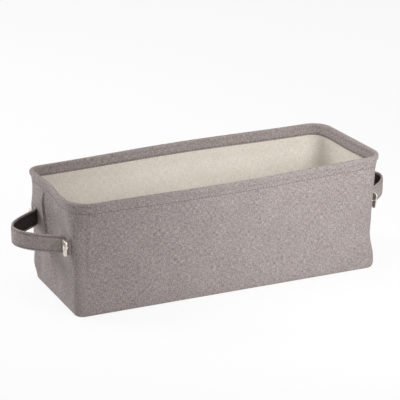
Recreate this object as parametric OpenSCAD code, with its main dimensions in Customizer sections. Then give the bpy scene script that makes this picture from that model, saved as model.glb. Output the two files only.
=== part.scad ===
// Long fabric storage bin: a stiffened canvas box with a wired rim, a cotton lining,
// a board in its base and a strap handle riveted to each end wall.
// Origin: centre of the footprint, on the surface it stands on. X runs along the bin.

/* [Body] */
// Height of the bin
bin_h = 127; // [110:1:155]
// Length over the rim
rim_len = 359; // [300:1:432]
// Width over the rim, at the ends
rim_wid = 146; // [138:1:176]
// Length of the base
base_len = 350; // [290:1:420]
// Width of the base
base_wid = 131; // [124:1:160]
// How far each long side bows out at the middle of the rim
side_bow = 6; // [0:0.5:12]
// How much higher the rim stands at the right end than at the left, as the cloth gives
rim_lean = 8; // [0:1:12]
// How far each end wall is drawn in at half height
end_waist = 3; // [0:0.5:5]
// Depth of the dent down the middle of each end wall
end_dent = 3; // [0:0.5:6]
// Depth of the same dent at the rim
rim_dent = 4; // [0:0.5:6]
// Half width of the dent
dent_half_w = 36; // [24:1:40]
// How much further the right end wall sags in at half height
right_slump = 4; // [0:0.5:6]
// Plan radius of the corners at the rim
rim_corner_r = 28; // [16:0.5:30]
// Plan radius of the corners at the base
base_corner_r = 10; // [7:0.5:12]

/* [Cloth layers] */
// Thickness of the canvas
canvas_t = 0.8; // [0.6:0.1:1.2]
// Thickness of the stiff interlining
interlining_t = 1.4; // [0.8:0.1:2.2]
// Thickness of the cotton lining
lining_t = 0.6; // [0.4:0.1:1]
// Clear space between two layers
layer_gap = 0.2; // [0.15:0.05:0.4]
// Thickness of the base board
board_t = 2; // [1.5:0.1:3]
// Radius of the seam that turns the walls into the base
foot_r = 3; // [2:0.5:5]

/* [Rim] */
// Diameter of the steel rim wire
wire_d = 3.2; // [2:0.1:4]
// Clear space round the wire in its hem
wire_play = 0.3; // [0.15:0.05:0.6]
// Depth of the hem that folds over the wire, from the top of the rim
hem_depth = 12; // [10:0.5:18]

/* [Handles] */
// Width of the strap
strap_w = 19; // [14:0.5:26]
// Thickness of the folded strap
strap_t = 3; // [2:0.25:4]
// Height of the strap's middle
strap_z = 75; // [58:1:88]
// How far the loop stands out
handle_out = 41; // [28:0.5:48]
// Half the distance over which the loop stands clear of the wall
handle_span = 46.5; // [44:0.5:48]
// Where each end of the strap stops, from the middle of the end wall
strap_end_y = 57; // [56:0.5:58]
// Where the loop starts to flex, from the middle of the end wall
flex_y = 40.5; // [38:0.5:43]
// Gap that divides the flexing loop from its fixed ends
flex_gap = 0.3; // [0.2:0.05:0.5]

/* [Clasps] */
// Height of a clasp plate
clasp_h = 17; // [13:0.5:20]
// Width of a clasp plate at its top
clasp_top_w = 12; // [9:0.5:13]
// Width of a clasp plate at its foot
clasp_foot_w = 7; // [6:0.5:9]
// Thickness of a clasp plate
clasp_t = 1.7; // [1.2:0.1:2.2]
// How far the clasp's middle lies below the strap's middle
clasp_drop = 1.5; // [0:0.5:3]
// Distance of each rivet from the middle of the end wall
rivet_y = 52; // [51:0.5:53]
// Radius of the rivet shank
rivet_r = 1.1; // [0.8:0.1:1.4]
// Radius of the rivet head
rivet_head_r = 2.1; // [1.8:0.1:2.6]
// Radius of the washer inside the bin
washer_r = 3.5; // [3:0.1:4.5]
// Thickness of that washer
washer_t = 0.6; // [0.4:0.1:1]

/* [Hidden] */

canvas_grey = [0.62, 0.58, 0.57];
interlining_white = [0.9, 0.9, 0.88];
lining_greige = [0.84, 0.8, 0.75];
board_brown = [0.55, 0.42, 0.3];
steel = [0.7, 0.7, 0.72];
pale_nickel = [0.86, 0.82, 0.74];

seam_half_gap = 0.15;
bore_play = 0.15;
seat_gap = 0.3;
head_gap = 0.1;

// Offsets of the layers, inwards from the outer face of the canvas
interlining_off = canvas_t + layer_gap;
lining_off = interlining_off + interlining_t + layer_gap;
lining_inner_off = lining_off + lining_t;

// The rim tube: the wire, its play and the canvas round it
tube_in_r = wire_d/2 + wire_play;
tube_r = tube_in_r + canvas_t;
tube_z = bin_h - tube_r;
flap_off = lining_inner_off + layer_gap;

// Heights of the layers in the base
board_z = canvas_t + layer_gap;
lining_z = board_z + board_t + layer_gap;
board_inset = foot_r + 0.4;

// Stations along a quarter of the wall: [part, fraction], from the middle of an end wall
// (part 0), round the corner (part 1), to the middle of a long side (part 2)
END_FRACTIONS = [0, 0.17, 0.34, 0.5, 0.66, 0.82];
CORNER_STEPS = 5;
SIDE_STEPS = 7;
STATIONS = concat(
    [for (f = END_FRACTIONS) [0, f]],
    [for (i = [0:CORNER_STEPS - 1]) [1, i/CORNER_STEPS]],
    [for (i = [0:SIDE_STEPS]) [2, i/SIDE_STEPS]]
);
LAST = len(STATIONS) - 1;

// Size of the wall's outer face at a height
function share(z) = z/bin_h;
function half_len(z) = (base_len + (rim_len - base_len)*share(z))/2 - end_waist*sin(180*share(z));
function half_wid(z) = (base_wid + (rim_wid - base_wid)*share(z))/2;
function corner_r(z) = base_corner_r + (rim_corner_r - base_corner_r)*pow(share(z), 2);
function bow(x, z) = side_bow*share(z)*pow(cos(90*x/(half_len(z) - corner_r(z))), 2);
function dent(y, z) =
    abs(y) >= dent_half_w ? 0 :
    (end_dent*sin(180*share(z)) + rim_dent*pow(share(z), 2))*pow(cos(90*y/dent_half_w), 2);
// How far the right end has sagged in at a height, and where a point of the wall comes to with
// that sag and the lean of the rim
function slump(z) = right_slump*sin(90*pow(sin(180*share(z)), 2));
function leaned(p) = [
    p[0] - slump(p[2])*pow(max(0, p[0])/half_len(p[2]), 2), p[1],
    p[2] + rim_lean*pow(share(p[2]), 2)*p[0]/rim_len];

// A point of the right front quarter, at a height and an offset inwards
function end_point(f, z, off) =
    let (y = seam_half_gap + f*(half_wid(z) - corner_r(z) - seam_half_gap))
    [half_len(z) - dent(y, z) - off, -y, z];
function corner_point(f, z, off) =
    let (r = corner_r(z), a = 90*f)
    [half_len(z) - r + (r - off)*cos(a), -(half_wid(z) - r + (r - off)*sin(a)), z];
function side_point(f, z, off) =
    let (x = (half_len(z) - corner_r(z))*(1 - f))
    [x, -(half_wid(z) + bow(x, z) - off), z];
function quarter_point(s, z, off) =
    s[0] == 0 ? end_point(s[1], z, off) :
    s[0] == 1 ? corner_point(s[1], z, off) : side_point(s[1], z, off);

// A point of the front half, at station i counted from the right seam to the left one
function half_point(i, z, off) =
    i <= LAST ? leaned(quarter_point(STATIONS[i], z, off)) :
    let (p = quarter_point(STATIONS[2*LAST - i], z, off)) leaned([-p[0], p[1], p[2]]);

// The whole outline at a height, for the flat panels
function outline(z, off) = concat(
    [for (i = [0:2*LAST]) let (p = half_point(i, z, off)) [p[0], p[1]]],
    [for (i = [2*LAST:-1:0]) let (p = half_point(i, z, off)) [p[0], -p[1]]]
);

// Sweeps a section, a list of [offset, height], along the front half of the wall
module half_wall(section) {
    n = len(section);
    rings = 2*LAST + 1;
    points = [for (i = [0:rings - 1]) for (s = section) half_point(i, s[1], s[0])];
    // The outer face runs up and the inner one down; both are split along the same diagonals,
    // so that neighbouring layers stay apart where the wall is twisted
    sides = [for (i = [0:rings - 2]) for (k = [0:n - 1])
        let (a = i*n + k, b = i*n + (k + 1)%n)
        each k < n/2 ? [[a, b, b + n], [a, b + n, a + n]] : [[a, b, a + n], [b, b + n, a + n]]];
    caps = [[for (k = [n - 1:-1:0]) k], [for (k = [0:n - 1]) (rings - 1)*n + k]];
    polyhedron(points, concat(sides, caps), convexity = 8);
}

// A plain layer of cloth between two heights
WALL_LEVELS = [0.12, 0.28, 0.45, 0.62, 0.78, 0.91];
function levels(z0, z1) = concat([z0], [for (l = WALL_LEVELS) l*bin_h], [z1]);
function layer_section(off, t, z0, z1) = concat(
    [for (z = levels(z0, z1)) [off, z]],
    [for (i = [len(WALL_LEVELS) + 1:-1:0]) [off + t, levels(z0, z1)[i]]]
);

// The canvas: in under the foot, up the wall, over the wire and down inside as the hem
TUBE_STEPS = 6;
FOOT_STEPS = 3;
function foot_arc(r, steps) =
    [for (i = [0:steps]) let (a = 90*i/steps) [foot_r - r*sin(a), foot_r - r*cos(a)]];
function tube_arc(r) =
    [for (i = [0:TUBE_STEPS]) let (a = 180*i/TUBE_STEPS) [tube_r - r*cos(a), tube_z + r*sin(a)]];
function back_to_front(list) = [for (i = [len(list) - 1:-1:0]) list[i]];
UPRIGHT_LEVELS = [for (l = WALL_LEVELS) l*bin_h];
hem_foot_z = bin_h - hem_depth;
hem_straight = 0.35;
hem_bend_z = hem_foot_z + hem_straight*hem_depth;
lining_under_hem = 0.3;
canvas_outer = concat(
    foot_arc(foot_r, FOOT_STEPS), [for (z = UPRIGHT_LEVELS) [0, z]], tube_arc(tube_r),
    [[flap_off + canvas_t, hem_bend_z], [flap_off + canvas_t, hem_foot_z]]
);
canvas_inner = concat(
    foot_arc(foot_r - canvas_t, FOOT_STEPS), [for (z = UPRIGHT_LEVELS) [canvas_t, z]],
    tube_arc(tube_in_r), [[flap_off, hem_bend_z], [flap_off, hem_foot_z]]
);
CANVAS_SECTION = concat(canvas_outer, back_to_front(canvas_inner));

// Positions along X at the right end wall, at the height of the clasp
clasp_z = strap_z - clasp_drop;
strap_seat_x = half_len(strap_z + strap_w/2) + seat_gap;
washer_gap = 0.5;
washer_x = half_len(clasp_z - washer_r) - lining_inner_off - washer_gap - washer_t;
clinch_t = 0.5;
clinch_margin = 1.4;
clinch_x = washer_x - head_gap - clinch_t;
strap_ease = 2;
function strap_out(y) =
    let (s = handle_out*cos(90*y/handle_span)) (s + sqrt(s*s + strap_ease*strap_ease))/2;
clasp_inner_y = rivet_y - clasp_top_w/2;
clasp_gap = 1;
clasp_x = strap_seat_x + strap_t + strap_out(clasp_inner_y) + clasp_gap;
head_h = 0.9;

// The strap's middle line in plan, and a point beside it
STRAP_STEPS = 48;
slope_step = 0.05;
function strap_line(y) = [strap_seat_x + strap_t/2 + strap_out(y), y];
function strap_side(y, d) =
    let (p = strap_line(y), q = strap_line(y + slope_step) - strap_line(y - slope_step))
    p + d*[q[1], -q[0]]/norm(q);
function strap_y(i) = strap_end_y*sin(180*i/STRAP_STEPS - 90);
STRAP_OUTLINE = concat(
    [for (i = [0:STRAP_STEPS]) strap_side(strap_y(i), strap_t/2)],
    [for (i = [STRAP_STEPS:-1:0]) strap_side(strap_y(i), -strap_t/2)]
);

// The right-hand strap between two distances from the middle of the wall
module strap_piece(y0, y1) {
    reach = 2*(strap_seat_x + handle_out);
    intersection() {
        translate([0, 0, strap_z - strap_w/2]) linear_extrude(strap_w) polygon(STRAP_OUTLINE);
        translate([0, y0, 0]) cube([reach, y1 - y0, bin_h]);
    }
}

// A bore along X for a rivet at the right back corner
module rivet_bore(r, x0, x1) {
    translate([x0, rivet_y, clasp_z]) rotate([0, 90, 0]) cylinder(r = r, h = x1 - x0, $fn = 32);
}

// Puts a piece that is made for the right back attachment at each of the four
module at_end(right) {
    if (right) translate([-slump(strap_z + strap_w/2), 0, 0]) children();
    else mirror([1, 0, 0]) children();
}
module at_corner(right, back) {
    at_end(right) mirror([0, back ? 0 : 1, 0]) children();
}

// The four rivet bores through the walls
module wall_bores() {
    for (right = [true, false]) at_corner(right, false)
        rivet_bore(rivet_r + bore_play, washer_x - 1, strap_seat_x + 1);
}

module front_wall_cloth(section) {
    difference() {
        half_wall(section);
        wall_bores();
    }
}

module outer_wall() { color(canvas_grey) front_wall_cloth(CANVAS_SECTION); }

module interlining_wall() {
    color(interlining_white) front_wall_cloth(
        layer_section(interlining_off, interlining_t, lining_z, tube_z - tube_r - layer_gap));
}

module lining_wall() {
    color(lining_greige) front_wall_cloth(
        layer_section(lining_off, lining_t, lining_z, hem_foot_z + lining_under_hem*hem_depth));
}

module flat_panel(z, t, inset) {
    translate([0, 0, z]) linear_extrude(t) polygon(outline(z, inset));
}
module outer_base_panel() { color(canvas_grey) flat_panel(0, canvas_t, foot_r + layer_gap); }
module base_board() { color(board_brown) flat_panel(board_z, board_t, board_inset); }
module lining_base_panel() {
    color(lining_greige) flat_panel(lining_z, lining_t, lining_inner_off + layer_gap);
}

// The wire: a closed ring that lies in the hem all round
WIRE_SIDES = 8;
module rim_wire() {
    rings = 4*LAST + 2;
    section = [for (k = [0:WIRE_SIDES - 1]) let (a = 360*k/WIRE_SIDES)
        [tube_r - wire_d/2*cos(a), tube_z + wire_d/2*sin(a)]];
    front = [for (i = [0:2*LAST]) [for (s = section) half_point(i, s[1], s[0])]];
    back = [for (i = [2*LAST:-1:0]) [for (p = front[i]) [p[0], -p[1], p[2]]]];
    points = [for (ring = concat(front, back)) each ring];
    n = WIRE_SIDES;
    color(steel) polyhedron(points, [for (i = [0:rings - 1]) for (k = [0:n - 1])
        let (j = (i + 1)%rings, a = i*n + k, b = i*n + (k + 1)%n, c = j*n + (k + 1)%n, d = j*n + k)
        each [[a, b, c], [a, c, d]]], convexity = 8);
}

module strap_loop() { color(canvas_grey) strap_piece(-flex_y, flex_y); }

module strap_end() {
    color(canvas_grey) difference() {
        strap_piece(flex_y + flex_gap, strap_end_y + strap_t);
        rivet_bore(rivet_r + bore_play, strap_seat_x - 1, clasp_x + 1);
    }
}

// Clasp plate: a shield with round corners, a pressed groove from its top edge and a rivet hole
function corner_arc(c, r, a0) = [for (i = [0:6]) c + r*[cos(a0 + 15*i), sin(a0 + 15*i)]];
function shield(w0, w1, h, r) = concat(
    corner_arc([w1/2 - r, h/2 - r], r, 0), corner_arc([r - w1/2, h/2 - r], r, 90),
    corner_arc([r - w0/2, r - h/2], r, 180), corner_arc([w0/2 - r, r - h/2], r, 270)
);
clasp_corner_r = 2.6;
rim_step = 0.45;
rim_margin = 1.1;
groove_w = 1.2;
groove_d = 0.7;
module clasp() {
    m = 2*rim_margin;
    color(pale_nickel) difference() {
        translate([clasp_x, rivet_y, clasp_z]) rotate([90, 0, 90]) {
            linear_extrude(clasp_t - rim_step)
                polygon(shield(clasp_foot_w, clasp_top_w, clasp_h, clasp_corner_r));
            linear_extrude(clasp_t) polygon(
                shield(clasp_foot_w - m, clasp_top_w - m, clasp_h - m, clasp_corner_r - rim_margin));
        }
        rivet_bore(rivet_r + bore_play, clasp_x - 1, clasp_x + clasp_t + 1);
        translate([clasp_x + clasp_t - groove_d, rivet_y - groove_w/2, clasp_z + rivet_head_r])
            cube([groove_d + 1, groove_w, clasp_h]);
    }
}

// Rivet: a domed head outside, a shank through the wall and a clinched end inside
module rivet() {
    clinch_r = washer_r - clinch_margin;
    head_x = clasp_x + clasp_t + head_gap;
    dome = [for (i = [0:6]) [rivet_head_r*cos(15*i), head_x + head_h*sin(15*i)]];
    color(pale_nickel) translate([0, rivet_y, clasp_z]) rotate([0, 90, 0]) rotate_extrude($fn = 32)
        polygon(concat(
            [[0, clinch_x], [clinch_r, clinch_x], [clinch_r, clinch_x + clinch_t],
             [rivet_r, clinch_x + clinch_t], [rivet_r, head_x]],
            dome));
}

module washer() {
    color(pale_nickel) difference() {
        rivet_bore(washer_r, washer_x, washer_x + washer_t);
        rivet_bore(rivet_r + bore_play, washer_x - 1, washer_x + washer_t + 1);
    }
}

outer_wall();  // outer_front_wall
mirror([0, 1, 0]) outer_wall();  // outer_back_wall
outer_base_panel();
interlining_wall();  // front_interlining
mirror([0, 1, 0]) interlining_wall();  // back_interlining
base_board();
lining_wall();  // front_lining_wall
mirror([0, 1, 0]) lining_wall();  // back_lining_wall
lining_base_panel();
rim_wire();
at_end(false) strap_loop();  // left_strap_loop
at_end(true) strap_loop();  // right_strap_loop
at_corner(false, false) strap_end();  // left_front_strap_end
at_corner(false, true) strap_end();  // left_back_strap_end
at_corner(true, false) strap_end();  // right_front_strap_end
at_corner(true, true) strap_end();  // right_back_strap_end
at_corner(false, false) clasp();  // left_front_clasp
at_corner(false, true) clasp();  // left_back_clasp
at_corner(true, false) clasp();  // right_front_clasp
at_corner(true, true) clasp();  // right_back_clasp
at_corner(false, false) rivet();  // left_front_rivet
at_corner(false, true) rivet();  // left_back_rivet
at_corner(true, false) rivet();  // right_front_rivet
at_corner(true, true) rivet();  // right_back_rivet
at_corner(false, false) washer();  // left_front_washer
at_corner(false, true) washer();  // left_back_washer
at_corner(true, false) washer();  // right_front_washer
at_corner(true, true) washer();  // right_back_washer
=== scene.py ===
"""Fabric storage bin: a long canvas box with a wired rim, a cotton lining and two strap handles."""
import math

import bpy
import numpy as np
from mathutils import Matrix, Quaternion, Vector


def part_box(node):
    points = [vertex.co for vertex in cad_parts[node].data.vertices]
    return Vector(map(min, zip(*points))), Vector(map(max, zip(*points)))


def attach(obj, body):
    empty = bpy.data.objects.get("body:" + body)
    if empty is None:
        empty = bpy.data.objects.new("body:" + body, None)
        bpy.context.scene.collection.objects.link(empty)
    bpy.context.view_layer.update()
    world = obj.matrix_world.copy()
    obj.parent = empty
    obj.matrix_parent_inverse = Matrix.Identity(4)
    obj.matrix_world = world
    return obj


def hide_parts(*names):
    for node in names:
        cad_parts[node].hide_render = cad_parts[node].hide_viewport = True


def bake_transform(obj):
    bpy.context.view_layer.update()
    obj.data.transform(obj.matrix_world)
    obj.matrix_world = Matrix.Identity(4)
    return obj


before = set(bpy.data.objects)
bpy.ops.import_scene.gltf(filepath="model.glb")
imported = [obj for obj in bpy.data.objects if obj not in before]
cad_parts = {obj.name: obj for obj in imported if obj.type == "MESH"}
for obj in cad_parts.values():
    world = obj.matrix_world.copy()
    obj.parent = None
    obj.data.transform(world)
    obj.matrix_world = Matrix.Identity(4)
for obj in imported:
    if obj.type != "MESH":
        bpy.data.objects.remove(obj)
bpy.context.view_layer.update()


# --- Canvas body ---------------------------------------------------------------------------
# Two lengths of heathered warm-grey canvas, stiffened behind and sewn together down the end
# walls. Each turns in at the foot, runs up, wraps the rim wire and hems down inside. Being
# soft, it bows, dents at the ends and has a slanting fold in its left end.
MM = 0.001
BIN_H = 127.0
RIM_LEN, RIM_WID = 359.0, 146.0
BASE_LEN, BASE_WID = 350.0, 131.0
SIDE_BOW = 6.0
END_WAIST = 3.0
END_DENT, DENT_HALF_W = 3.0, 36.0
BASE_CORNER_R = 10.0
RIM_CORNER_R = {(-1, -1): 28.0, (-1, 1): 15.0, (1, -1): 24.0, (1, 1): 24.0}  # by end and side
RIM_LEAN = 8.0  # how much higher the rim stands at the right end than at the left
RIGHT_SLUMP = 4.0
CANVAS_T = 0.8
FOOT_R = 3.0
TUBE_R, TUBE_IN_R = 2.7, 1.9
HEM_DEPTH = 12.0
HEM_STITCH_PULL = 0.5
FLAP_OFF = 3.4
SEAM_GAP = 0.02
CLOTH_SEED = 7
END, CORNER, SIDE = 0, 1, 2


def smooth(t):
    """Eases from 0 to 1 as t does."""
    t = np.clip(t, 0.0, 1.0)
    return t * t * (3 - 2 * t)


def waves(u, v, size, seed):
    """Smooth unevenness from about -1 to 1, with bumps about size millimetres across."""
    random = np.random.default_rng(seed)
    total = np.zeros(np.broadcast(u, v).shape)
    for _ in range(14):
        turn, phase = random.uniform(0, 2 * math.pi, 2)
        rate = 2 * math.pi / (size * random.uniform(1.4, 3.2))
        total = total + np.sin(rate * (u * math.cos(turn) + v * math.sin(turn)) + phase)
    return total / 5


def hollow(t):
    """The cross profile of a dent: 1 in its middle, 0 at its edges."""
    return np.where(np.abs(t) < 1, np.cos(math.pi / 2 * t) ** 2, 0)


def streak(u, v, start, stop, width):
    """1 along a line between two points, fading to 0 on both sides of it and past its ends."""
    (u0, v0), (u1, v1) = start, stop
    length = math.hypot(u1 - u0, v1 - v0)
    along = ((u - u0) * (u1 - u0) + (v - v0) * (v1 - v0)) / length
    aside = ((u - u0) * (v1 - v0) - (v - v0) * (u1 - u0)) / length
    past = np.maximum(np.maximum(-along, along - length), 0)
    return np.exp(-(aside / width) ** 2 - (past / width) ** 2)


# The fold is a slot that starts at the hem and widens downwards, with a crest along each lip. Its
# front crest goes on below the slot and slants to the foot. Values are by height above the floor.
FOLD_STEP = 1.6
CREST_REACH, FAR_CREST_REACH = 11.0, 16.0


def left_fold(y, z, ease):
    """How far the fold stands out. The layers underneath are folded more loosely, by ease."""
    crease = np.interp(z, [0, 14, 25, 33, 45, 60, 78, 97, 127], [-10, -3, 5, 10, 15, 17, 19, 22, 27])
    crest = np.interp(z, [0, 10, 30, 48, 62, 92, 106, 114], [0, 2.6, 4.2, 4.0, 3.4, 2.4, 0.9, 0])
    slot = np.interp(z, [44, 58, 98, 114], [0, 7.5, 6.0, 0])
    slot_w = np.interp(z, [44, 60, 80, 98, 114], [7.5, 7.5, 7.0, 5.0, 2.5])
    far_crest = np.interp(z, [40, 58, 98, 112], [0, 2.6, 2.0, 0])
    past = y - crease - slot_w
    step = FOLD_STEP + ease
    into = smooth((y - crease + ease) / step + 0.5)
    out_of = smooth((past - ease) / step + 0.5)
    ahead = crest * np.exp(-np.clip(crease - y, 0, None) / CREST_REACH) * (1 - into)
    behind = far_crest * np.exp(-np.clip(past, 0, None) / FAR_CREST_REACH) * out_of
    return ahead - slot * into * (1 - out_of) + behind


FAR_CORNER_BULGE = 2.8
FRONT_SINK = 7.5  # how far the front wall turns in at its left edge
FRONT_DENT, FRONT_RIDGE = 1.5, 0.9
FOOT_BULGE = 0.9
RIM_OUT, RIM_IN = 1.6, 1.4
UNDER_HEM = 1.3


def give(x, y, z, end, part, ease):
    """How far the soft wall stands out from its drafted form. It is held at the foot and the hem."""
    left = (part < SIDE) & (end < 0)
    front = (part == SIDE) & (y < 0)
    front_left = (part == CORNER) & (end < 0) & (y < 0)
    uneven = 0.6 * waves(x + 1.7 * y, z, 36, CLOTH_SEED)
    uneven = uneven + 0.2 * waves(x - 1.3 * y, z, 13, CLOTH_SEED + 1)
    fold = left_fold(y, z, ease) * (1 - smooth((abs(y) - 50) / 10))
    far_corner = smooth((y - 42) / 16) * smooth((z - 2) / 20) * (1 - smooth((z - 82) / 22))
    end_shape = np.where(left, fold + FAR_CORNER_BULGE * far_corner, 0)
    sink = FRONT_SINK * np.clip((-50 - x) / 120, 0, 1) ** 2 * np.sin(math.pi * np.clip(z / 118, 0, 1))
    round_corner = np.clip((np.abs(y) - 56) / 12, 0, 1) ** 2
    dent = FRONT_DENT * streak(x, z, (-160, 88), (-138, 54), 10)
    ridge = FRONT_RIDGE * streak(x, z, (-118, 70), (-100, 24), 14)
    front_shape = np.where(front, ridge - dent - sink, 0) - np.where(front_left, sink * round_corner, 0)
    foot = FOOT_BULGE * np.exp(-((z - 14) / 11) ** 2)
    held = smooth(z / 7) * (1 - smooth((z - 106) / 13))
    rim_bends = RIM_OUT * hollow((y + 34) / 40) - RIM_IN * hollow((y - 16) / 34)
    rim = np.where(left, rim_bends, 0) * (z / BIN_H) ** 2
    under_hem = UNDER_HEM * smooth((z - 100) / 12) * (1 - smooth((z - 120) / 1.6))
    return (uneven + end_shape + front_shape + foot) * held + rim - under_hem


def columns(end_n, corner_n, side_n):
    """Places along a half wall, from the right seam to the left: part, fraction of it, and end."""
    part = np.repeat([END, CORNER, SIDE], [end_n, corner_n, side_n + 1])
    frac = np.concatenate([
        1 - np.cos(np.linspace(0, math.pi / 2, end_n, endpoint=False)),
        np.linspace(0, 1, corner_n, endpoint=False),
        np.linspace(0, 1, side_n + 1),
    ])
    end = np.ones(len(part))
    return (np.concatenate([part, part[-2::-1]]), np.concatenate([frac, frac[-2::-1]]),
            np.concatenate([end, -end[:-1]]))


def wall(cols, z, off, back, gap=SEAM_GAP, ease=0.0):
    """Points of a half wall: columns by heights, pushed in from its face by off."""
    part, frac, end = (c[:, None] for c in cols)
    z = np.asarray(z, float)[None, :]
    off = np.asarray(off, float)[None, :]
    side = 1 if back else -1
    share = z / BIN_H
    half_len = (BASE_LEN + (RIM_LEN - BASE_LEN) * share) / 2 - END_WAIST * np.sin(math.pi * share)
    half_wid = (BASE_WID + (RIM_WID - BASE_WID) * share) / 2
    rim_r = np.where(end < 0, RIM_CORNER_R[-1, side], RIM_CORNER_R[1, side])
    r = BASE_CORNER_R + (rim_r - BASE_CORNER_R) * share ** 2
    across = gap + frac * (half_wid - r - gap)
    dent = END_DENT * np.sin(math.pi * share) * hollow(across / DENT_HALF_W)
    turn = math.pi / 2 * frac
    along = (half_len - r) * (1 - frac)
    bow = SIDE_BOW * share * np.cos(math.pi / 2 * along / (half_len - r)) ** 2
    at_end, at_corner = part == END, part == CORNER
    nx = np.where(at_end, 1, np.where(at_corner, np.cos(turn), 0))
    ny = np.where(at_end, 0, np.where(at_corner, np.sin(turn), 1))
    x = np.where(at_end, half_len - dent, np.where(at_corner, half_len - r + r * nx, along))
    y = np.where(at_end, across, np.where(at_corner, half_wid - r + r * ny, half_wid + bow))
    x, nx = x * end, nx * end
    y, ny = y * side, ny * side
    out = give(x, y, z, end, part, ease) - off
    lean = RIM_LEAN * share ** 2 * x / RIM_LEN
    slump = RIGHT_SLUMP * np.sin(math.pi / 2 * np.sin(math.pi * share) ** 2)
    sagged = slump * (np.clip(x, 0, None) / half_len) ** 2
    return np.stack([x + nx * out - sagged, y + ny * out, z + lean + 0 * x], axis=-1)


def new_piece(name, verts, faces, cloth_uv):
    """A smooth piece from points in millimetres, with a UV in metres for each point."""
    mesh = bpy.data.meshes.new(name)
    mesh.from_pydata((verts * MM).tolist(), [], faces)
    mesh.update()
    layer = mesh.uv_layers.new(name="cloth")
    corner = np.zeros(len(mesh.loops), np.int32)
    mesh.loops.foreach_get("vertex_index", corner)
    layer.data.foreach_set("uv", (cloth_uv[corner] * MM).astype(np.float32).ravel())
    mesh.shade_smooth()
    piece = bpy.data.objects.new(name, mesh)
    bpy.context.scene.collection.objects.link(piece)
    return piece


def lengths(line):
    """The length along a line at each of its points."""
    return np.concatenate([[0], np.cumsum(np.linalg.norm(np.diff(line, axis=0), axis=1))])


def swept(name, points, outer_n=0, ring=False):
    """A closed piece through columns of section points, with the cloth's own lengths as its UVs.

    A section that is a thin strip has outer_n points on its outer face, and its ends are closed by
    strips. Other ends are closed by one face each, and a ring has none."""
    n, m = points.shape[:2]
    index = np.arange(n * m).reshape(n, m)
    grid = np.concatenate([index, index[:, :1]], axis=1)
    if ring:
        grid = np.concatenate([grid, grid[:1]])
    faces = [np.stack([grid[:-1, :-1], grid[:-1, 1:], grid[1:, 1:], grid[1:, :-1]], -1).reshape(-1, 4)]
    if outer_n:
        for column, step in ((0, 1), (n - 1, -1)):
            a, b = index[column, :outer_n], index[column, outer_n:][::-1]
            faces.append(np.stack([a[:-1], b[:-1], b[1:], a[1:]], -1)[:, ::step])
    faces = np.concatenate(faces).tolist()
    if not outer_n and not ring:
        faces += [index[0, ::-1].tolist(), index[-1].tolist()]
    flat = points.reshape(-1, 3)
    a, b, c = (flat[grid[:-1, :-1]], flat[grid[:-1, 1:]], flat[grid[1:, 1:]])
    inside_out = np.einsum("ijk,ijk->", a, np.cross(b, c)) < 0
    if inside_out:
        faces = [face[::-1] for face in faces]
    u = lengths(points[:, m // 4])
    v = lengths(points[n // 3])
    if outer_n:
        v[outer_n:] = v[:outer_n][::-1]
    return new_piece(name, flat, faces, np.stack(np.meshgrid(u, v, indexing="ij"), -1).reshape(-1, 2))


def arc(r, middle_off, middle_z, start, stop, steps):
    """Points of a section's arc: its angle runs from start to stop, in degrees, 0 is inwards."""
    turn = np.radians(np.linspace(start, stop, steps))
    return np.stack([middle_off + r * np.cos(turn), middle_z + r * np.sin(turn)], -1)


def canvas_skin(off, tube_r):
    """The outer (off 0) or inner face of the canvas in section, from foot to hem."""
    hem_zone = BIN_H - 27
    foot = arc(FOOT_R - off, FOOT_R, FOOT_R, 270, 180, 7)
    low_z = np.linspace(FOOT_R, hem_zone, 46)[1:]
    upright_z = np.concatenate([low_z, np.linspace(hem_zone, BIN_H - TUBE_R, 28)[1:-1]])
    stitched = HEM_STITCH_PULL * np.exp(-((upright_z - BIN_H + HEM_DEPTH) / 0.9) ** 2)
    upright = np.stack([off + stitched, upright_z], -1)
    tube = arc(tube_r, TUBE_R, BIN_H - TUBE_R, 180, 0, 15)
    flap_z = np.linspace(BIN_H - TUBE_R - 1.5, BIN_H - HEM_DEPTH, 7)
    lower = smooth((BIN_H - TUBE_R - flap_z) / (0.5 * HEM_DEPTH))
    tube_off = TUBE_R + tube_r
    flap_end = FLAP_OFF + (CANVAS_T if off == 0 else 0)
    flap = np.stack([tube_off + (flap_end - tube_off) * lower, flap_z], -1)
    return np.concatenate([foot, upright, tube, flap])


SEAM_CURL, SEAM_CURL_W = 0.25, 0.8  # the cloth turns in at the side seams, where its edges are sewn
body_cols = columns(60, 18, 90)
outer_skin = canvas_skin(0.0, TUBE_R)
inner_skin = canvas_skin(CANVAS_T, TUBE_IN_R)
canvas_section = np.concatenate([outer_skin, inner_skin[::-1]])
canvas = {}
for side, back in (("front", False), ("back", True)):
    points = wall(body_cols, canvas_section[:, 1], canvas_section[:, 0], back)
    curl = SEAM_CURL * np.exp(-(points[..., 1] / SEAM_CURL_W) ** 2) * (body_cols[0] == END)[:, None]
    points[..., 0] -= np.sign(points[..., 0]) * curl
    canvas[side] = swept(f"canvas_{side}", points[::-1] if back else points, len(outer_skin))
    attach(canvas[side], "root")
    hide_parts(f"outer_{side}_wall")


def linear(hex_colour):
    """The linear value of an sRGB hex colour."""
    parts = [int(hex_colour[i:i + 2], 16) / 255 for i in (1, 3, 5)]
    return [p / 12.92 if p <= 0.04045 else ((p + 0.055) / 1.055) ** 2.4 for p in parts] + [1.0]


def add(tree, kind, settings=None, **sockets):
    """Adds a node, with its settings and the values or links of its sockets. A socket is given by
    its name with _ for each space, or as i and its number."""
    made = tree.nodes.new(kind)
    for name, value in (settings or {}).items():
        setattr(made, name, value)
    for name, value in sockets.items():
        key = int(name[1:]) if name[0] == "i" and name[1:].isdigit() else name.replace("_", " ")
        if isinstance(value, bpy.types.NodeSocket):
            tree.links.new(value, made.inputs[key])
        else:
            made.inputs[key].default_value = value
    return made


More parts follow.
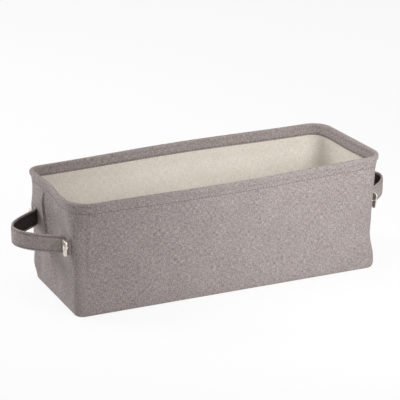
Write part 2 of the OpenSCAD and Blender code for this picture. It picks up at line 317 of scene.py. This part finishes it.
def new_material(name):
    """A new material and its empty node tree."""
    material = bpy.data.materials.new(name)
    material.use_nodes = True
    material.node_tree.nodes.clear()
    return material, material.node_tree


def woven(name, dark, mid, light, yarn, slub, contrast, bump, sheen):
    """Plain-woven cloth on its own UVs: matt, with a heather of thicker and thinner threads. yarn
    is the thread spacing and slub the length of a thread's thick stretches, in millimetres."""
    material, tree = new_material(name)
    uv = add(tree, "ShaderNodeTexCoord").outputs["UV"]
    per_yarn, per_slub = 1 / (yarn * MM), 1 / (slub * MM)
    streaks = []
    for scale, shift in (((per_slub, per_yarn, 1), 3.7), ((per_yarn, per_slub, 1), 11.3)):
        place = add(tree, "ShaderNodeMapping", Vector=uv, Scale=scale, Location=(shift, shift, 0))
        streaks.append(add(tree, "ShaderNodeTexNoise", {"noise_dimensions": "2D"}, Vector=place.outputs[0],
                           Scale=1.0, Detail=3.0, Roughness=0.65).outputs["Fac"])
    weft, warp = streaks
    turns = add(tree, "ShaderNodeVectorMath", {"operation": "SCALE"}, i0=uv, Scale=math.pi * per_yarn)
    split = add(tree, "ShaderNodeSeparateXYZ", Vector=turns.outputs[0])
    across = add(tree, "ShaderNodeMath", {"operation": "SINE"}, i0=split.outputs["X"]).outputs[0]
    upward = add(tree, "ShaderNodeMath", {"operation": "SINE"}, i0=split.outputs["Y"]).outputs[0]
    crossing = add(tree, "ShaderNodeMath", {"operation": "MULTIPLY"}, i0=across, i1=upward).outputs[0]
    over = add(tree, "ShaderNodeMapRange", Value=crossing, From_Min=-0.4, From_Max=0.4).outputs[0]
    on_top = add(tree, "ShaderNodeMix", {"data_type": "FLOAT"}, i0=over, i2=weft, i3=warp).outputs[0]
    average = add(tree, "ShaderNodeMix", {"data_type": "FLOAT"}, i0=0.5, i2=weft, i3=warp).outputs[0]
    heather = add(tree, "ShaderNodeMix", {"data_type": "FLOAT"}, i0=0.55, i2=average, i3=on_top).outputs[0]
    cloud = add(tree, "ShaderNodeTexNoise", {"noise_dimensions": "2D"}, Vector=uv,
                Scale=1 / (26 * MM), Detail=2.0).outputs["Fac"]
    mixed = add(tree, "ShaderNodeMix", {"data_type": "FLOAT"}, i0=0.05, i2=heather, i3=cloud).outputs[0]
    spread = 0.25 / contrast
    tone = add(tree, "ShaderNodeMapRange", Value=mixed, From_Min=0.5 - spread, From_Max=0.5 + spread)
    ramp = add(tree, "ShaderNodeValToRGB", Fac=tone.outputs[0])
    ramp.color_ramp.elements[0].color = linear(dark)
    ramp.color_ramp.elements[1].color = linear(light)
    ramp.color_ramp.elements.new(0.5).color = linear(mid)
    height = add(tree, "ShaderNodeMath", {"operation": "ABSOLUTE"}, i0=crossing).outputs[0]
    relief = add(tree, "ShaderNodeMath", {"operation": "MULTIPLY_ADD"}, i0=heather, i1=1.2, i2=height)
    raised = add(tree, "ShaderNodeBump", Strength=bump, Distance=0.35 * yarn * MM, Height=relief.outputs[0])
    shader = add(tree, "ShaderNodeBsdfPrincipled", Base_Color=ramp.outputs[0], Normal=raised.outputs[0],
                 Roughness=0.92, Specular_IOR_Level=0.2, Sheen_Weight=sheen, Sheen_Roughness=0.5)
    add(tree, "ShaderNodeOutputMaterial", Surface=shader.outputs[0])
    return material


# Cotton canvas with a grey weft on a paler warp: a fine heather, quite matt. Its threads are about
# 0.6 mm apart, and are drawn 0.8 mm apart so that the heather shows.
canvas_cloth = woven("heathered_canvas", "#766d6b", "#9c9290", "#bcb3b1", yarn=0.8, slub=4.0,
                     contrast=1.6, bump=0.5, sheen=0.1)
for piece in canvas.values():
    piece.data.materials.append(canvas_cloth)


# --- Stitching -----------------------------------------------------------------------------
# Polyester lockstitch, a shade darker than the cloth, about 3.3 mm a stitch. Each line is a row
# of short stitches that lie half sunk in the cloth, set along a drawn path by Geometry Nodes.
def stitch_tree():
    """The node tree that sets one stitch at each step along a path of edges."""
    tree = bpy.data.node_groups.new("stitch_row", "GeometryNodeTree")
    ports = tree.interface
    for label, kind in (("Path", "NodeSocketGeometry"), ("Pitch", "NodeSocketFloat"),
                        ("Stitch Length", "NodeSocketFloat"), ("Thread", "NodeSocketFloat"),
                        ("Finish", "NodeSocketMaterial")):
        ports.new_socket(label, in_out="INPUT", socket_type=kind)
    ports.new_socket("Stitches", in_out="OUTPUT", socket_type="NodeSocketGeometry")
    given = add(tree, "NodeGroupInput").outputs
    path = add(tree, "GeometryNodeMeshToCurve", Mesh=given["Path"])
    spaced = add(tree, "GeometryNodeCurveToPoints", {"mode": "LENGTH"},
                 Curve=path.outputs[0], Length=given["Pitch"])
    ball = add(tree, "GeometryNodeMeshUVSphere", Segments=8, Rings=5, Radius=0.5)
    width = add(tree, "ShaderNodeMath", {"operation": "MULTIPLY"}, i0=given["Thread"], i1=2.0).outputs[0]
    size = add(tree, "ShaderNodeCombineXYZ", X=given["Stitch Length"], Y=width, Z=width)
    shaped = add(tree, "GeometryNodeTransform", Geometry=ball.outputs[0], Scale=size.outputs[0])
    turned = add(tree, "FunctionNodeAlignRotationToVector", {"axis": "X"},
                 Vector=spaced.outputs["Tangent"])
    placed = add(tree, "GeometryNodeInstanceOnPoints", Points=spaced.outputs["Points"],
                 Instance=shaped.outputs[0], Rotation=turned.outputs[0])
    real = add(tree, "GeometryNodeRealizeInstances", Geometry=placed.outputs[0])
    rounded = add(tree, "GeometryNodeSetShadeSmooth", Geometry=real.outputs[0])
    done = add(tree, "GeometryNodeSetMaterial", Geometry=rounded.outputs[0], Material=given["Finish"])
    add(tree, "NodeGroupOutput", Stitches=done.outputs[0])
    return tree


def spun(name, colour):
    """Polyester thread: a plain colour with a soft gloss and the fine diagonal of its twist."""
    material, tree = new_material(name)
    place = add(tree, "ShaderNodeTexCoord").outputs["Object"]
    twist = add(tree, "ShaderNodeTexWave", {"bands_direction": "DIAGONAL"}, Vector=place,
                Scale=1 / (0.5 * MM), Distortion=1.0)
    raised = add(tree, "ShaderNodeBump", Strength=0.4, Distance=0.05 * MM, Height=twist.outputs["Fac"])
    shader = add(tree, "ShaderNodeBsdfPrincipled", Base_Color=linear(colour), Roughness=0.7,
                 Normal=raised.outputs[0])
    add(tree, "ShaderNodeOutputMaterial", Surface=shader.outputs[0])
    return material


stitch_row = stitch_tree()
polyester = spun("polyester_thread", "#5f5553")


def stitches(name, lines, pitch, length, radius):
    """One mesh of stitches along one or more open paths. All sizes are in millimetres."""
    verts, edges = [], []
    for line in lines:
        first = len(verts)
        verts += (np.asarray(line) * MM).tolist()
        edges += [(first + i, first + i + 1) for i in range(len(line) - 1)]
    path = bpy.data.meshes.new(name + "_path")
    path.from_pydata(verts, edges, [])
    row = bpy.data.objects.new(name, path)
    bpy.context.scene.collection.objects.link(row)
    modifier = row.modifiers.new("stitches", "NODES")
    modifier.node_group = stitch_row
    values = {"Pitch": pitch * MM, "Stitch Length": length * MM, "Thread": radius * MM, "Finish": polyester}
    for item in stitch_row.interface.items_tree:
        if item.in_out == "INPUT" and item.name in values:
            modifier[item.identifier] = values[item.name]
    bpy.context.view_layer.update()
    shown = row.evaluated_get(bpy.context.evaluated_depsgraph_get())
    sewn = bpy.data.meshes.new_from_object(shown)
    sewn.name = name
    row.modifiers.clear()
    row.data = sewn
    bpy.data.meshes.remove(path)
    return row


# The hem's line shows outside 12 mm below the rim, and inside on the flap. Its thread is drawn
# 0.8 mm thick, where the real one has about 0.5 mm, so that it shows.
hem_lines = []
for z, off in ((BIN_H - HEM_DEPTH, HEM_STITCH_PULL), (BIN_H - HEM_DEPTH + 1.6, FLAP_OFF + CANVAS_T + 0.1)):
    for back in (False, True):
        hem_lines.append(wall(body_cols, [z], [off], back)[2:-2, 0])
hem_stitches = stitches("hem_topstitching", hem_lines, pitch=3.3, length=2.2, radius=0.42)
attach(hem_stitches, "root")


# --- Interlining ---------------------------------------------------------------------------
# Stiff white non-woven sheet between canvas and lining, one length for each half. It stops
# under the rim wire and short of the side seams, which are sewn without it.
INTERLINING_OFF, INTERLINING_T = 1.0, 1.4
INTERLINING_SEAM_GAP = 2.5
INTERLINING_FOLD_EASE = 2.5
LAYER_FOOT_Z = 3.2
INTERLINING_TOP_Z = 121.4
LAYER_ROWS = 50
core_cols = columns(48, 12, 48)


def layer_section(off, thickness, top_z):
    """Heights and depths round a flat layer's section."""
    z = np.linspace(LAYER_FOOT_Z, top_z, LAYER_ROWS)
    return np.concatenate([z, z[::-1]]), np.repeat([off, off + thickness], LAYER_ROWS)


def fleece(name, colour):
    """Needled non-woven: pale fibres in all directions, quite matt."""
    material, tree = new_material(name)
    place = add(tree, "ShaderNodeTexCoord").outputs["Object"]
    fibres = add(tree, "ShaderNodeTexNoise", Vector=place, Scale=1 / (0.8 * MM), Detail=4.0, Distortion=1.5)
    tone = add(tree, "ShaderNodeMix", {"data_type": "RGBA"}, Factor=fibres.outputs["Fac"],
               i6=linear(colour), i7=linear("#ffffff"))
    raised = add(tree, "ShaderNodeBump", Strength=0.5, Distance=0.2 * MM, Height=fibres.outputs["Fac"])
    shader = add(tree, "ShaderNodeBsdfPrincipled", Base_Color=tone.outputs[2], Roughness=0.95,
                 Normal=raised.outputs[0])
    add(tree, "ShaderNodeOutputMaterial", Surface=shader.outputs[0])
    return material


nonwoven = fleece("needled_nonwoven", "#dcdad4")
section_z, section_off = layer_section(INTERLINING_OFF, INTERLINING_T, INTERLINING_TOP_Z)
for side, back in (("front", False), ("back", True)):
    points = wall(core_cols, section_z, section_off, back, INTERLINING_SEAM_GAP, INTERLINING_FOLD_EASE)
    piece = swept(f"interlining_{side}", points[::-1] if back else points, LAYER_ROWS)
    piece.data.materials.append(nonwoven)
    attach(piece, "root")
    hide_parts(f"{side}_interlining")


# --- Rim wire ------------------------------------------------------------------------------
# A ring of drawn steel wire, 3.2 mm thick, in the hem. It is hidden all round, and is swept
# here along the soft rim, so that it lies inside the hem everywhere.
WIRE_R = 1.6


def drawn_metal(name, colour, roughness, fineness):
    """Bare metal with the fine lines of drawing or brushing along it, which break up its gloss."""
    material, tree = new_material(name)
    place = add(tree, "ShaderNodeTexCoord").outputs["Object"]
    lines = add(tree, "ShaderNodeMapping", Vector=place,
                Scale=(60 / fineness, 1000 / fineness, 1000 / fineness))
    scratch = add(tree, "ShaderNodeTexNoise", Vector=lines.outputs[0], Scale=2.0, Detail=3.0)
    rough = add(tree, "ShaderNodeMapRange", Value=scratch.outputs["Fac"], To_Min=roughness - 0.08,
                To_Max=roughness + 0.1)
    raised = add(tree, "ShaderNodeBump", Strength=0.25, Distance=0.03 * MM, Height=scratch.outputs["Fac"])
    shader = add(tree, "ShaderNodeBsdfPrincipled", Base_Color=linear(colour), Metallic=1.0,
                 Roughness=rough.outputs[0], Normal=raised.outputs[0])
    add(tree, "ShaderNodeOutputMaterial", Surface=shader.outputs[0])
    return material


wire_section = arc(WIRE_R, TUBE_R, BIN_H - TUBE_R, 0, 324, 10)
wire_front = wall(core_cols, wire_section[:, 1], wire_section[:, 0], False, 0.5)
wire_back = wall(core_cols, wire_section[:, 1], wire_section[:, 0], True, 0.5)[::-1]
wire = swept("rim_wire_ring", np.concatenate([wire_front, wire_back]), ring=True)
wire.data.materials.append(drawn_metal("drawn_steel_wire", "#b4b4b6", 0.38, 1.0))
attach(wire, "root")
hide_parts("rim_wire")


# --- Lining --------------------------------------------------------------------------------
# Plain greige cotton, thinner than the canvas. Two wall lengths and a base panel are sewn into
# a bag that hangs inside, its top edge caught under the hem. It wrinkles a little.
LINING_OFF, LINING_T = 2.6, 0.6
LINING_TOP_Z = 118.6
LINING_SEAM_GAP = 0.1
LINING_FOLD_EASE = 5.0
lining_cols = columns(48, 12, 80)
# Unbleached cotton: pale, matt and nearly even in colour. Its weave is drawn as coarse as the canvas's.
lining_cloth = woven("greige_cotton", "#cfc8bd", "#dfd9cf", "#ece7de", yarn=0.8, slub=6.0,
                     contrast=1.5, bump=0.3, sheen=0.05)


def wrinkles(points):
    """How far the lining's wall is pushed inwards, in millimetres."""
    x, y, z = points[..., 0], points[..., 1], points[..., 2]
    fade = smooth((z - 4) / 12) * (1 - smooth((z - 92) / 18))
    return fade * (0.45 + 0.45 * waves(x + 1.4 * y, 0.45 * z, 20, CLOTH_SEED + 5))


section_z, section_off = layer_section(LINING_OFF, LINING_T, LINING_TOP_Z)
for side, back in (("front", False), ("back", True)):
    flat = wall(lining_cols, section_z, section_off, back, LINING_SEAM_GAP, LINING_FOLD_EASE)
    inwards = wall(lining_cols, section_z, section_off + 1.0, back, LINING_SEAM_GAP, LINING_FOLD_EASE) - flat
    points = flat + inwards * wrinkles(flat)[..., None]
    piece = swept(f"lining_{side}", points[::-1] if back else points, LAYER_ROWS)
    piece.data.materials.append(lining_cloth)
    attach(piece, "root")
    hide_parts(f"{side}_lining_wall")


# --- Base ----------------------------------------------------------------------------------
# Under everything a canvas panel, then a hardboard stiffener, then the lining's base panel.
# The panels are flat on the board; their edges are turned and sewn to the walls.
LINING_BASE_Z = 3.2
PANEL_HALF_LEN, PANEL_HALF_WID = 172.0, 62.0


def panel(name, z, thickness, inset, rows, rise=None):
    """A flat cloth panel of the bin's base outline, with rounded edges. rise lifts its top."""
    front = wall(lining_cols, [z], [inset], False, 0.0)[:, 0]
    outline = np.concatenate([front, (front * [1, -1, 1])[-2:0:-1]])
    edge = thickness * 0.4
    taper = np.array([edge / PANEL_HALF_LEN, edge / PANEL_HALF_WID])
    discs = [outline[:, :2] * share for share in np.linspace(0, 1, rows + 1)[1:]]
    rim = discs[-1] * (1 - taper)
    discs[-1] = rim
    top = [np.column_stack([disc, np.full(len(disc), z + thickness)]) for disc in discs]
    low = [np.column_stack([disc, np.full(len(disc), z)]) for disc in discs]
    middle = [np.column_stack([rim * (1 + taper), np.full(len(rim), z + thickness / 2)])]
    if rise:
        for disc in top:
            disc[:, 2] += rise(disc[:, 0], disc[:, 1])
    points = np.stack(top + middle + low[::-1])
    n, m = points.shape[:2]
    index = np.arange(n * m).reshape(n, m)
    grid = np.concatenate([index, index[:, :1]], axis=1)
    quads = np.stack([grid[:-1, :-1], grid[:-1, 1:], grid[1:, 1:], grid[1:, :-1]], -1).reshape(-1, 4)
    hubs = [[0, 0, points[0, :, 2].mean()], [0, 0, z]]
    verts = np.concatenate([points.reshape(-1, 3), hubs])
    hub_top, hub_low = n * m, n * m + 1
    fans = [(hub_top, grid[0, i + 1], grid[0, i]) for i in range(m)]
    fans += [(hub_low, grid[-1, i], grid[-1, i + 1]) for i in range(m)]
    piece = new_piece(name, verts, quads.tolist() + fans, verts[:, :2])
    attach(piece, "root")
    return piece


def loose(x, y):
    """How far the lining's base lifts between its sewn edges, in millimetres."""
    edge = smooth((168 - abs(x)) / 40) * smooth((60 - abs(y)) / 30)
    return edge * (0.6 + 0.6 * waves(x, y, 45, CLOTH_SEED + 9))


base_canvas = panel("canvas_base", 0.0, CANVAS_T, FOOT_R + 0.1, 12)
base_canvas.data.materials.append(canvas_cloth)
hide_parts("outer_base_panel")

base_lining = panel("lining_base", LINING_BASE_Z, LINING_T, LINING_OFF + LINING_T + 0.1, 24, loose)
base_lining.data.materials.append(lining_cloth)
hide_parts("lining_base_panel")


def pressed_board(name, colour, fleck_colour):
    """Hardboard: pressed brown wood fibre with a faint fleck, dull but smooth."""
    material, tree = new_material(name)
    place = add(tree, "ShaderNodeTexCoord").outputs["Object"]
    fleck = add(tree, "ShaderNodeTexNoise", Vector=place, Scale=1 / (1.5 * MM), Detail=5.0)
    tone = add(tree, "ShaderNodeMix", {"data_type": "RGBA"}, Factor=fleck.outputs["Fac"],
               i6=linear(colour), i7=linear(fleck_colour))
    shader = add(tree, "ShaderNodeBsdfPrincipled", Base_Color=tone.outputs[2], Roughness=0.7)
    add(tree, "ShaderNodeOutputMaterial", Surface=shader.outputs[0])
    return material


def paint(node, material):
    """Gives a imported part, whose shape stays as it is, its finish."""
    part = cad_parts[node]
    for slot in part.material_slots:
        slot.material = material
    if not part.material_slots:
        part.data.materials.append(material)


paint("base_board", pressed_board("hardboard", "#765536", "#a98c68"))


# --- Strap handles -------------------------------------------------------------------------
# One canvas strap at each end, folded in layers to 19 mm and topstitched along both edges. Its
# ends lie flat under the clasps; between them it stands out in a loop.
STRAP_W, STRAP_T = 19.0, 3.0
STRAP_Z = 75.0
STRAP_END_Y = 55.5
STRAP_SPAN = 46.5
STRAP_OUT = 41.0
STRAP_EASE = 2.0
STRAP_STEPS, SECTION_STEPS = 150, 64
EDGE_STITCH_IN = 2.2
CROSS_STITCH_Y = 43.0
UP = np.array([0.0, 0.0, 1.0])
# How far out from the middle of the bin the straps are seated, by end.
seat = {-1: -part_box("left_back_strap_end")[1].x / MM, 1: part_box("right_back_strap_end")[0].x / MM}
# The body's canvas, a touch paler where it is folded and pressed.
strap_cloth = woven("strap_canvas", "#7d7370", "#a49996", "#c1b7b4", yarn=0.8, slub=4.0,
                    contrast=1.6, bump=0.5, sheen=0.1)
# Painted shade: a near-black cloth on the strap's inner face, which darkens the inside of the loop.
painted_shade_cloth = woven("strap_inner_painted_shade", "#302928", "#403836", "#524846", yarn=0.8, slub=4.0,
                     contrast=1.6, bump=0.4, sheen=0.0)


def strap_path(end):
    """The strap's middle line in plan and its way out from it, at a level height."""
    y = STRAP_END_Y * np.sin(np.linspace(-math.pi / 2, math.pi / 2, STRAP_STEPS))
    out = STRAP_OUT * np.cos(math.pi / 2 * y / STRAP_SPAN)
    out = (out + np.sqrt(out ** 2 + STRAP_EASE ** 2)) / 2
    line = np.stack([end * (seat[end] + STRAP_T / 2 + out), y, 0 * y + STRAP_Z], -1)
    along = np.gradient(line, axis=0)
    along /= np.linalg.norm(along, axis=1)[:, None]
    outward = np.stack([along[:, 1], -along[:, 0], 0 * y], -1) * end
    return line, outward


def strap_section():
    """The strap in section: widths along Z and depths outwards, pinched along the stitch lines."""
    turn = np.linspace(0, 2 * math.pi, SECTION_STEPS, endpoint=False)
    c, s = np.cos(turn), np.sin(turn)
    wide = STRAP_W / 2 * np.sign(c) * np.abs(c) ** 0.55
    thick = STRAP_T / 2 * np.sign(s) * np.abs(s) ** 0.4
    pinch = 0.32 * np.exp(-((abs(wide) - STRAP_W / 2 + EDGE_STITCH_IN) / 0.8) ** 2)
    return wide, thick * (1 - pinch)


def strap_body(name, end, line, outward, sag):
    """The strap's cloth, pressed thin towards its ends, with painted shade on its inner face: a near-black
    cloth.
    """
    wide, thick = strap_section()
    from_end = np.minimum(np.arange(STRAP_STEPS), np.arange(STRAP_STEPS)[::-1])
    press = (0.4 + 0.6 * smooth(from_end / 16))[:, None]
    narrow = 0.9 + 0.1 * np.sqrt(np.clip(from_end / 3, 0, 1))[:, None]
    depth = thick * press - (1 - press) * STRAP_T / 2
    points = line[:, None] + outward[:, None] * depth[..., None]
    points[..., 2] += (wide + sag[:, None]) * narrow
    strap = swept(name, points)
    strap.data.materials.append(strap_cloth)
    strap.data.materials.append(painted_shade_cloth)
    # Faces turned towards the wall get the painted shade, a near-black cloth.
    for face in strap.data.polygons:
        outwards = face.normal.x * end + face.normal.y * face.center.y / 0.03
        if outwards < -0.25 and abs(face.center.z - STRAP_Z * MM) < 0.4 * STRAP_W * MM:
            face.material_index = 1
    return strap


def strap_stitch_lines(line, outward, sag):
    """The four edge rows of the strap, inside and outside, and a cross row near each end."""
    rows = []
    for face in (1, -1):
        for edge in (1, -1):
            row = line + outward * face * (0.4 * STRAP_T) + UP * edge * (STRAP_W / 2 - EDGE_STITCH_IN)
            row[:, 2] += sag
            rows.append(row[6:-6])
    for row_y in (-CROSS_STITCH_Y, CROSS_STITCH_Y):
        at = int(np.argmin(np.abs(line[:, 1] - row_y)))
        drop = np.linspace(-6.5, 6.5, 9)[:, None] * UP
        rows.append(line[at] + outward[at] * STRAP_T / 2 + drop + UP * sag[at])
    return rows


for name, end, seed in (("left", -1, CLOTH_SEED + 3), ("right", 1, CLOTH_SEED + 4)):
    line, outward = strap_path(end)
    sag = 0.5 * waves(line[:, 1], 0 * line[:, 1], 30, seed)
    strap = strap_body(f"{name}_strap", end, line, outward, sag)
    sewn = stitches(f"{name}_strap_topstitching", strap_stitch_lines(line, outward, sag),
                    pitch=3.0, length=2.1, radius=0.26)
    for piece in (strap, sewn):
        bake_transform(piece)
    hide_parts(f"{name}_strap_loop", f"{name}_front_strap_end", f"{name}_back_strap_end")


# --- Clasps --------------------------------------------------------------------------------
# A pale satin-nickel plate over each strap end, held by a rivet that passes through strap and
# wall to a washer inside. They keep their parts' own shapes.
# Satin nickel is warm and soft in its gloss. The washers are plain, a little sharper and greyer.
satin_nickel = drawn_metal("satin_nickel", "#e6dfd3", 0.36, 1.6)
plain_nickel = drawn_metal("plain_nickel", "#c9c5bc", 0.3, 1.2)
for end in ("left", "right"):
    for side in ("front", "back"):
        paint(f"{end}_{side}_clasp", satin_nickel)
        paint(f"{end}_{side}_rivet", satin_nickel)
        paint(f"{end}_{side}_washer", plain_nickel)


# --- Stage, light and camera ---------------------------------------------------------------
# A plain white floor that keeps a faint shadow, a key light from the front right, soft fill and
# top lights, and a long lens from the left front. The floor lies a hair under the base.
FLOOR_HALF, FLOOR_Z = 12.0, -0.0002
FLOOR_WHITE = 0.88


def in_view(tree):
    """1 for rays that show the surroundings: the camera's own, reflected and transmitted ones."""
    ray = add(tree, "ShaderNodeLightPath").outputs
    straight = add(tree, "ShaderNodeMath", {"operation": "MAXIMUM"}, i0=ray["Is Camera Ray"],
                   i1=ray["Is Transmission Ray"])
    shown = add(tree, "ShaderNodeMath", {"operation": "MAXIMUM"}, i0=straight.outputs[0],
                i1=ray["Is Glossy Ray"])
    return shown.outputs[0]


def stage_white(name, colour):
    """Matt white board, lifted towards pure white where the camera or the metal sees it."""
    material, tree = new_material(name)
    board = add(tree, "ShaderNodeBsdfPrincipled", Base_Color=linear(colour), Roughness=0.9)
    white = add(tree, "ShaderNodeEmission", Color=linear("#ffffff"))
    share = add(tree, "ShaderNodeMath", {"operation": "MULTIPLY"}, i0=in_view(tree), i1=FLOOR_WHITE)
    mixed = add(tree, "ShaderNodeMixShader", i0=share.outputs[0], i1=board.outputs[0], i2=white.outputs[0])
    add(tree, "ShaderNodeOutputMaterial", Surface=mixed.outputs[0])
    return material


floor_mesh = bpy.data.meshes.new("floor")
floor_mesh.from_pydata([(x * FLOOR_HALF, y * FLOOR_HALF, FLOOR_Z)
                        for x, y in ((-1, -1), (1, -1), (1, 1), (-1, 1))], [], [(0, 1, 2, 3)])
floor = bpy.data.objects.new("floor", floor_mesh)
floor.data.materials.append(stage_white("white_floor", "#fbfbfb"))
bpy.context.scene.collection.objects.link(floor)

AMBIENT = 0.27
world = bpy.data.worlds.new("studio")
bpy.context.scene.world = world
world.use_nodes = True
tree = world.node_tree
tree.nodes.clear()
strength = add(tree, "ShaderNodeMapRange", Value=in_view(tree), To_Min=AMBIENT, To_Max=1.0)
glow = add(tree, "ShaderNodeBackground", Color=linear("#ffffff"), Strength=strength.outputs[0])
add(tree, "ShaderNodeOutputWorld", Surface=glow.outputs[0])


def lamp(name, kind, place, aim, watts, **settings):
    """A lamp of a kind at a place, aimed at a point, which the camera doesn't see."""
    light = bpy.data.lights.new(name, kind)
    light.energy = watts
    for setting, value in settings.items():
        setattr(light, setting, value)
    holder = bpy.data.objects.new(name, light)
    holder.location = place
    holder.rotation_euler = (Vector(aim) - Vector(place)).to_track_quat("-Z", "Y").to_euler()
    holder.visible_camera = False
    bpy.context.scene.collection.objects.link(holder)


lamp("key", "SPOT", (0.16, -0.54, 0.36), (0.09, 0, 0.05), 12.4,
     spot_size=math.radians(72), spot_blend=1.0, shadow_soft_size=0.14)
lamp("fill", "AREA", (-1.1, 1.0, 0.9), (-0.15, 0, 0.06), 16.3, shape="DISK", size=0.8)
lamp("top", "AREA", (0.1, 0.2, 2.0), (0, 0, 0), 9, shape="DISK", size=1.4)

AZIMUTH, ELEVATION, DISTANCE = math.radians(-25.0), math.radians(19.8), 1.749
LENS = 145.4
ROLL = math.radians(0.14)
SHIFT_UP, SHIFT_LEFT = 0.0215, 0.0072
target = Vector((0, 0, 0.06))
away = Vector((math.sin(AZIMUTH) * math.cos(ELEVATION), -math.cos(AZIMUTH) * math.cos(ELEVATION),
               math.sin(ELEVATION)))
camera_data = bpy.data.cameras.new("camera")
camera_data.lens = LENS
camera_data.sensor_width = 36.0
camera = bpy.data.objects.new("camera", camera_data)
bpy.context.scene.collection.objects.link(camera)
bpy.context.scene.camera = camera
camera.location = target + away * DISTANCE
rightward = Vector((math.cos(AZIMUTH), math.sin(AZIMUTH), 0))
aim = target + away.cross(rightward) * SHIFT_UP - rightward * SHIFT_LEFT
level = (aim - camera.location).to_track_quat("-Z", "Y")
camera.rotation_euler = (level @ Quaternion((0, 0, 1), ROLL)).to_euler()

bpy.context.scene.view_settings.view_transform = "Standard"
